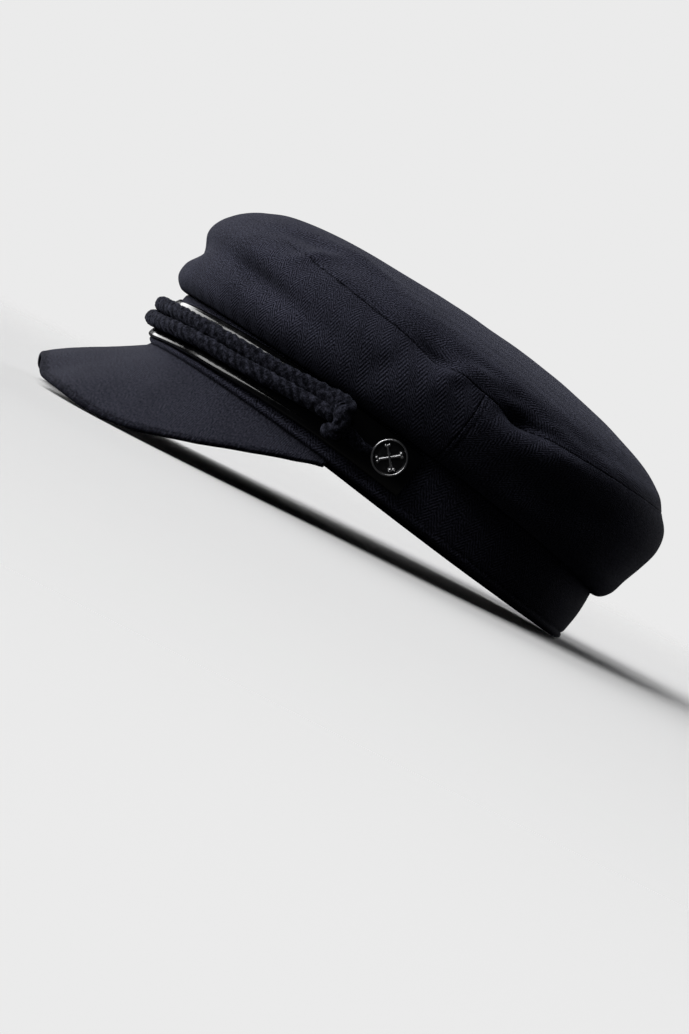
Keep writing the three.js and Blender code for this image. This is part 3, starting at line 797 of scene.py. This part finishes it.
def cord(name, node, stops, material, seed):
    """A soft cord laid up from twisted strands, its ends rounded off."""
    centres, radii = cord_line(stops, RING_SPACING)
    rings = len(centres) - 1
    tangents = unit(np.gradient(centres, axis=0))
    across = np.zeros_like(centres)
    up = np.array([0.0, 0.0, 1.0])
    for i, tangent in enumerate(tangents):
        up = up - tangent * (up @ tangent)
        up = up / np.linalg.norm(up)
        across[i] = up
    sideways = np.cross(tangents, across)
    length = lengths(centres)
    to_end = np.minimum(length, length[-1] - length)
    round_off = np.sqrt(np.clip(1 - (1 - np.clip(to_end / radii, 0, 1)) ** 2, 0, 1))
    bm, u, v = grid(rings, CORD_SIDES)
    ring = np.round(u * rings).astype(int)
    turn = 2 * math.pi * v
    lay = turn * STRANDS - 2 * math.pi * length[ring] / BUMP_PITCH
    base = centres[ring]
    wander = LAY_WANDER * noise_at(base, LAY_WANDER_SIZE, seed + 3)
    strand = np.abs(np.cos(lay / 2 + wander))
    relief = 1 + CORD_RELIEF * (strand - MIDDLE_RELIEF)
    radius = radii[ring] * round_off[ring] * relief
    around = across[ring] * np.cos(turn)[:, None] + sideways[ring] * np.sin(turn)[:, None]
    place = base + around * radius[:, None]
    waves = [(rise, size, seed + i) for i, (rise, size) in enumerate(CORD_WAVES)]
    soft = unevenness(place, waves) * round_off[ring]
    place = place + around * soft[:, None]
    shape(bm, place, points(length[ring], turn * CORD_ROUND, strand))
    piece(name, bm, material, node, closed=True)


# Radius and height of each corner of the button's section, from the middle of its front to its shank.
BUTTON_SECTION = [
    (0.0, 1.8), (6.1, 1.8), (6.35, 2.2), (6.45, 2.8), (6.6, 3.0), (6.85, 3.05), (7.1, 2.9), (7.3, 2.5),
    (7.3, 1.2), (7.15, 0.6), (6.6, 0.15), (6.0, 0.0), (2.4, 0.0), (2.2, -0.2), (2.2, -3.3), (0.0, -3.3),
]

# The corners at which the field and the rim end, then the radii of the rim and the field.
FIELD_ENDS = 2
RIM_ENDS = 7
RIM_STARTS = 6.4
FIELD_RADIUS = 6.1
FIELD_DOME = 0.3

# The bones of the relief: the shaft grows thicker towards its ends, where it has two lobes.
BONE_LENGTH = 9.6
SHAFT_RADIUS = 0.56
SHAFT_FLARE = 0.14
SHAFT_RISE = 1.25
LOBE_RADIUS = 0.82
LOBE_SPREAD = 0.72
UPPER_BONE_RISE = 1.25
BONE_STOPS = (6.2, 5.8)


def bone_height(x, y, turn):
    """Height of a bone of the relief over the button's field."""
    along = x * math.cos(turn) + y * math.sin(turn)
    aside = y * math.cos(turn) - x * math.sin(turn)
    half = BONE_LENGTH / 2
    part = np.clip(np.abs(along) / half, 0, 1)
    thick = SHAFT_RADIUS + SHAFT_FLARE * part ** 2
    within = np.abs(along) < half
    shaft = np.sqrt(np.clip(1 - (aside / thick) ** 2, 0, 1)) * within * thick * SHAFT_RISE
    lobes = 0
    for end in (-half, half):
        for side in (-LOBE_SPREAD, LOBE_SPREAD):
            far = ((along - end) ** 2 + (aside - side) ** 2) / LOBE_RADIUS ** 2
            lobes = np.maximum(lobes, np.sqrt(np.clip(1 - far, 0, 1)))
    return np.maximum(shaft, lobes)


def button(name, node, side, material):
    """A round button with a raised rim and two crossed bones in its field."""
    columns = 176
    rows = 150
    bm, u, v = grid(columns, rows)
    section = np.array(BUTTON_SECTION)
    along = lengths(section)
    here = v * along[-1]
    radius = np.interp(here, along, section[:, 0])
    height = np.interp(here, along, section[:, 1])
    turn = 2 * math.pi * u
    x = radius * np.cos(turn)
    y = radius * np.sin(turn)
    front = (here < along[FIELD_ENDS]).astype(float)
    lower_bone = bone_height(x, y, math.radians(45))
    upper_bone = UPPER_BONE_RISE * bone_height(x, y, math.radians(-45))
    relief = np.maximum(lower_bone, upper_bone)
    dome = FIELD_DOME * (1 - (radius / FIELD_RADIUS) ** 2)
    height = height + front * (relief * smoothstep(*BONE_STOPS, radius) + dome)
    azimuth = side * BUTTON_AZIMUTH
    face = band_outward(np.array(float(azimuth)))
    up = np.array([0.0, 0.0, 1.0])
    across = np.cross(up, face)
    centre = off_band(azimuth, BUTTON_HEIGHT, BUTTON_STAND)
    place = centre + across * x[:, None] + up * y[:, None] + face * height[:, None]
    rim = (radius > RIM_STARTS) * (here < along[RIM_ENDS])
    shape(bm, place, points(x, y, np.maximum(rim, front * np.clip(relief * 2, 0, 1))))
    piece(name, bm, material, node, closed=True)


# Materials.

class Socket:
    """A shader socket that arithmetic in Python works on."""

    def __init__(self, surface, socket):
        self.surface = surface
        self.socket = socket

    def __add__(self, other):
        return self.surface.maths("ADD", self, other)

    __radd__ = __add__

    def __mul__(self, other):
        return self.surface.maths("MULTIPLY", self, other)

    __rmul__ = __mul__

    def __sub__(self, other):
        return self.surface.maths("SUBTRACT", self, other)

    def __rsub__(self, other):
        return self.surface.maths("SUBTRACT", other, self)

    def __truediv__(self, other):
        return self.surface.maths("DIVIDE", self, other)

    def __mod__(self, other):
        return self.surface.maths("FLOORED_MODULO", self, other)

    def floor(self):
        return self.surface.maths("FLOOR", self)

    def cosine(self):
        return self.surface.maths("COSINE", self)


class Surface:
    """A material and the nodes that make it."""

    def __init__(self, name):
        self.material = bpy.data.materials.new(name)
        self.material.use_nodes = True
        self.tree = self.material.node_tree
        self.tree.nodes.clear()

    def add(self, kind, settings=None, inputs=None, output=0):
        """Adds a node with its settings and the values or links of its sockets."""
        node = self.tree.nodes.new("ShaderNode" + kind)
        for key, value in (settings or {}).items():
            setattr(node, key, value)
        for key, value in (inputs or {}).items():
            if isinstance(value, Socket):
                self.tree.links.new(value.socket, node.inputs[key])
            else:
                node.inputs[key].default_value = value
        return Socket(self, node.outputs[output]) if len(node.outputs) else None

    def maths(self, operation, *values):
        return self.add("Math", {"operation": operation}, dict(enumerate(values)))

    def measures(self):
        """The piece's own measures: all three together, across and along in millimetres, and its mark,
        which carries painted shade for the cloth and the cord, and the raised parts for the pewter.
        """
        vector = self.add("Attribute", {"attribute_name": "weave"}, output="Vector")
        parts = [self.add("SeparateXYZ", inputs={"Vector": vector}, output=axis) for axis in "XYZ"]
        return [vector, *parts]

    def place(self):
        return self.add("TexCoord", output="Object")

    def noise(self, vector, scale, detail=2.0, roughness=0.5):
        inputs = {"Vector": vector, "Scale": scale, "Detail": detail, "Roughness": roughness}
        return self.add("TexNoise", inputs=inputs)

    def ramp(self, value, low, high):
        """Goes smoothly from 0 at low to 1 at high."""
        inputs = {"Value": value, "From Min": low, "From Max": high}
        return self.add("MapRange", {"interpolation_type": "SMOOTHSTEP"}, inputs)

    def blend(self, factor, first, second):
        """The first colour where the factor is 0 and the second where it is 1."""
        inputs = {0: factor}
        for place, colour in enumerate((first, second), 6):
            inputs[place] = (*colour, 1) if isinstance(colour, tuple) else colour
        return self.add("Mix", {"data_type": "RGBA"}, inputs, output=2)

    def bump(self, height, strength, distance):
        return self.add("Bump", inputs={"Height": height, "Strength": strength, "Distance": distance})

    def finish(self, **inputs):
        """Ends the material in a shader with these sockets, written with underscores for spaces."""
        named = {}
        for key, value in inputs.items():
            named[key.replace("_", " ").title().replace("Ior", "IOR")] = value
        shader = self.add("BsdfPrincipled", inputs=named)
        self.add("OutputMaterial", inputs={"Surface": shader})
        return self.material


# The herringbone's column, and the spacing and slant of the threads in it.
COLUMN = 4.4
WALE = 1.02
WALE_SLANT = math.radians(36)

# The felt's twill: how much it runs across and along, and its spacing.
TWILL_ACROSS = 0.42
TWILL_ALONG = 0.9
TWILL = 0.95

# All the cloth has a faint blue nap.
NAP_TINT = (0.5, 0.53, 0.72, 1)
CLOTH_NAP = {"sheen_weight": 0.1, "sheen_roughness": 0.35, "sheen_tint": NAP_TINT}
CORD_NAP = {"sheen_weight": 0.12, "sheen_roughness": 0.5, "sheen_tint": NAP_TINT}
MATT_CLOTH = {"roughness": 0.95, "specular_ior_level": 0.08}
MATT_CORD = {"roughness": 0.97, "specular_ior_level": 0.05}


def stripes(phase):
    """Goes smoothly from 1 to 0 and back once for each whole number."""
    return (phase * math.tau).cosine() * 0.5 + 0.5


def herringbone(across, along):
    """Threads that slant one way and the other in neighbouring columns: 1 on a thread, 0 between."""
    place = across / COLUMN
    index = place.floor()
    way = 1 - (index % 2) * 2
    inside = (place - index - 0.5) * COLUMN
    return stripes((inside * way * math.cos(WALE_SLANT) + along * math.sin(WALE_SLANT)) / WALE)


def wool_cloth(name):
    """Dark navy herringbone, worn smooth in places, with a little pale lint and painted shade in its seam
    and crease grooves.
    """
    cloth = Surface(name)
    vector, across, along, groove_shade = cloth.measures()
    where = cloth.place()
    wander = cloth.noise(vector, 0.35) - 0.5
    thread = herringbone(across + wander, along + wander * 1.2)
    worn = cloth.ramp(cloth.noise(where, 55, 3.0), 0.3, 0.7)
    fuzz = cloth.noise(vector, 1.45, 3.0, 0.8)
    mottle = cloth.noise(where, 130, 3.0, 0.6)
    lint = cloth.ramp(cloth.noise(vector, 1.9, 2.0, 0.6), 0.63, 0.74)
    depth = thread * (worn * 0.35 + 0.65)
    # Painted shade darkens the cloth in the grooves of the seams, the pressed line and the band's crease.
    tone = depth * 0.6 + (fuzz - 0.5) * 3.6 + (mottle - 0.5) * 0.2 - groove_shade * 0.35 + 0.12
    colour = cloth.blend(tone, (0.0022, 0.0023, 0.0050), (0.072, 0.074, 0.108))
    colour = cloth.blend(lint * 0.5, colour, (0.13, 0.132, 0.165))
    relief = cloth.bump(depth * 0.8 + fuzz * 0.5, 0.55, 0.0004)
    return cloth.finish(base_color=colour, normal=relief, **MATT_CLOTH, **CLOTH_NAP)


def felted_cloth(name):
    """The peak's cloth, felted so that its twill barely shows, with painted shade along its pressed rim.
    """
    cloth = Surface(name)
    vector, across, along, rim = cloth.measures()
    where = cloth.place()
    wander = cloth.noise(vector, 0.3)
    twill = stripes((across * TWILL_ACROSS + along * TWILL_ALONG + wander * 1.3) / TWILL)
    worn = cloth.ramp(cloth.noise(where, 40), 0.35, 0.65)
    fuzz = cloth.noise(vector, 1.25, 3.0, 0.8)
    mottle = cloth.noise(where, 170, 3.0, 0.6)
    lint = cloth.ramp(cloth.noise(vector, 1.5, 2.0, 0.6), 0.66, 0.76)
    weave = twill * (worn * 0.12 + 0.2)
    # The pressed rim near the edge is painted darker, as shade in its recess.
    tone = weave + (fuzz - 0.5) * 2.8 + (mottle - 0.5) * 0.12 + 0.24 - rim * 0.3
    colour = cloth.blend(tone, (0.0040, 0.0042, 0.0080), (0.066, 0.068, 0.094))
    colour = cloth.blend(lint * 0.25, colour, (0.10, 0.102, 0.13))
    relief = cloth.bump(twill * worn * 0.3 + fuzz * 0.5, 0.7, 0.0005)
    return cloth.finish(base_color=colour, normal=relief, **MATT_CLOTH, **CLOTH_NAP)


def patent_leather(name):
    """Black patent with a thin coat, slightly wavy and smeared."""
    leather = Surface(name)
    where = leather.place()
    grain = leather.noise(where, 900)
    wave = leather.noise(where, 60)
    smear = leather.ramp(leather.noise(where, 140, 4.0, 0.7), 0.4, 0.75)
    relief = leather.bump(grain * 0.05 + wave * 0.9, 0.16, 0.0006)
    return leather.finish(
        base_color=(0.003, 0.003, 0.0035, 1), roughness=smear * 0.12 + 0.16, specular_ior_level=0.35,
        coat_weight=0.35, coat_roughness=0.1, normal=relief,
    )


def twisted_cord(name):
    """Soft dark cord, with painted shade between its strands."""
    cloth = Surface(name)
    strand = cloth.measures()[-1]
    where = cloth.place()
    fuzz = cloth.noise(where, 1500, 4.0, 0.75)
    clumps = cloth.noise(where, 520, 3.0, 0.6)
    # The strand measure paints shade into the grooves between the strands.
    tone = strand * 0.4 + (fuzz - 0.5) * 3.0 + (clumps - 0.5) * 2.0 - 0.12
    colour = cloth.blend(tone, (0.0014, 0.0015, 0.0030), (0.060, 0.062, 0.088))
    relief = cloth.bump(fuzz * 0.6 + clumps * 0.8, 0.9, 0.0008)
    return cloth.finish(base_color=colour, normal=relief, **MATT_CORD, **CORD_NAP)


def pewter(name):
    """Old pewter, dark in the field and bright on the rim and the relief."""
    metal = Surface(name)
    where = metal.place()
    raised = metal.measures()[-1]
    grain = metal.noise(where, 1800, 3.0, 0.6)
    tarnish = metal.noise(where, 500, 3.0)
    bright = raised * 0.85 + (tarnish - 0.5) * 0.3
    colour = metal.blend(bright, (0.05, 0.05, 0.053), (0.6, 0.6, 0.61))
    return metal.finish(
        base_color=colour, metallic=1.0, roughness=0.36 - raised * 0.12 + grain * 0.1,
        normal=metal.bump(grain, 0.25, 0.0002),
    )


# The stage, the lights and the camera.

# A colour and a strength: the room as the light sees it, and the backdrop as the camera does.
ROOM = ((0.75, 0.82, 1.0, 1), 0.012)
BACKDROP = ((0.83, 0.83, 0.83, 1), 1.0)
FLOOR_SEEN = (0.82, 0.82, 0.82)
FLOOR_LIT = (0.05, 0.05, 0.05)
FLOOR_RADIUS = 1.6
FLOOR_FADES = (0.25, 1.2)

# Each light's name, elevation, azimuth, strength and spread.
LIGHTS = [
    ("key", 26, 6, 2.45, 45),
    ("far_front", 20, -55, 2.0, 50),
    ("side_front", 46, 24, 0.5, 45),
    ("back", 14, -135, 0.9, 50),
]

# The camera looks level at the cap's left side, turned in the picture as the worn cap is.
PHOTO_HEIGHT = 1034
PHOTO_MM_PER_PIXEL = 0.405
CAMERA_AZIMUTH = math.radians(78)
CAMERA_DISTANCE = 1550
CAMERA_TARGET = (0, 3.4, -10.5)
IMAGE_FORWARD = (-0.809, 0.588)
SENSOR = 36.0


def view_axes():
    """The picture's right, up and towards-camera directions on the cap as it lies."""
    towards = Vector((math.sin(CAMERA_AZIMUTH), -math.cos(CAMERA_AZIMUTH), 0))
    forward = Vector((-math.cos(CAMERA_AZIMUTH), -math.sin(CAMERA_AZIMUTH), 0))
    upward = Vector((0, 0, 1))
    right = forward * IMAGE_FORWARD[0] + upward * IMAGE_FORWARD[1]
    up = forward * IMAGE_FORWARD[1] - upward * IMAGE_FORWARD[0]
    return [(tip_back @ axis).normalized() for axis in (right, up, towards)]


RIGHT, UP, TOWARDS = view_axes()


def camera():
    """A camera as far off as the photo's, at the same angle to the cap."""
    data = bpy.data.cameras.new("camera")
    made = bpy.data.objects.new("camera", data)
    bpy.context.scene.collection.objects.link(made)
    target = LAID_DOWN @ (Vector(CAMERA_TARGET) * MM)
    turn = Matrix((RIGHT, UP, TOWARDS)).transposed()
    made.matrix_world = Matrix.Translation(target + TOWARDS * CAMERA_DISTANCE * MM) @ turn.to_4x4()
    data.sensor_width = SENSOR
    data.lens = SENSOR * CAMERA_DISTANCE / (PHOTO_HEIGHT * PHOTO_MM_PER_PIXEL)
    data.clip_start = 0.05
    data.clip_end = 100
    bpy.context.scene.camera = made


def light(name, elevation, azimuth, strength, spread):
    """A broad far-off light, placed round the cap as worn: azimuth 0 is ahead of it, 90 is its left."""
    up, turn = math.radians(elevation), math.radians(azimuth)
    level = math.cos(up)
    direction = tip_back @ Vector((level * math.sin(turn), -level * math.cos(turn), math.sin(up)))
    data = bpy.data.lights.new(name, "SUN")
    data.energy = strength
    data.angle = math.radians(spread)
    made = bpy.data.objects.new(name, data)
    bpy.context.scene.collection.objects.link(made)
    made.matrix_world = direction.to_track_quat("Z", "Y").to_matrix().to_4x4()


def floor():
    """A pale floor that fades into the backdrop, and throws little light back up at the cap."""
    bm = bmesh.new()
    bmesh.ops.create_circle(bm, cap_ends=True, segments=96, radius=FLOOR_RADIUS)
    mesh = bpy.data.meshes.new("floor")
    bm.to_mesh(mesh)
    bm.free()
    pale = Surface("pale_floor")
    where = pale.place()
    far = pale.add("VectorMath", {"operation": "LENGTH"}, {0: where}, output="Value")
    seen = pale.add("LightPath", output="Is Camera Ray")
    colour = pale.blend(seen, FLOOR_LIT, FLOOR_SEEN)
    mesh.materials.append(pale.finish(
        base_color=colour, roughness=0.95, specular_ior_level=0.0, alpha=1 - pale.ramp(far, *FLOOR_FADES),
    ))
    made = bpy.data.objects.new("floor", mesh)
    bpy.context.scene.collection.objects.link(made)


def surroundings():
    """A pale backdrop for the camera and a dimmer room for the light."""
    world = bpy.data.worlds.new("studio")
    world.use_nodes = True
    tree = world.node_tree
    tree.nodes.clear()
    output = tree.nodes.new("ShaderNodeOutputWorld")
    mix = tree.nodes.new("ShaderNodeMixShader")
    path = tree.nodes.new("ShaderNodeLightPath")
    for place, (colour, strength) in enumerate((ROOM, BACKDROP), 1):
        background = tree.nodes.new("ShaderNodeBackground")
        background.inputs["Color"].default_value = colour
        background.inputs["Strength"].default_value = strength
        tree.links.new(background.outputs[0], mix.inputs[place])
    tree.links.new(path.outputs["Is Camera Ray"], mix.inputs[0])
    tree.links.new(mix.outputs[0], output.inputs[0])
    bpy.context.scene.world = world
    bpy.context.scene.view_settings.view_transform = "Standard"


def main():
    wool = wool_cloth("herringbone_wool")
    felt = felted_cloth("felted_wool")
    patent = patent_leather("black_patent")
    twist = twisted_cord("cord_twist")
    metal = pewter("antique_pewter")
    crown_top(wool)
    crown_panel("crown_front", "crown_front_panel", -90, 0, wool)
    crown_panel("crown_back", "crown_back_panel", 90, 180, wool)
    head_band(wool)
    peak(felt)
    strap(patent)
    cord("lower_cord", "cord_lower", LOWER_CORD, twist, 8)
    cord("upper_cord", "cord_upper", UPPER_CORD, twist, 9)
    button("left_button", "button_left", 1, metal)
    button("right_button", "button_right", -1, metal)

    camera()
    floor()
    surroundings()
    for row in LIGHTS:
        light(*row)


main()
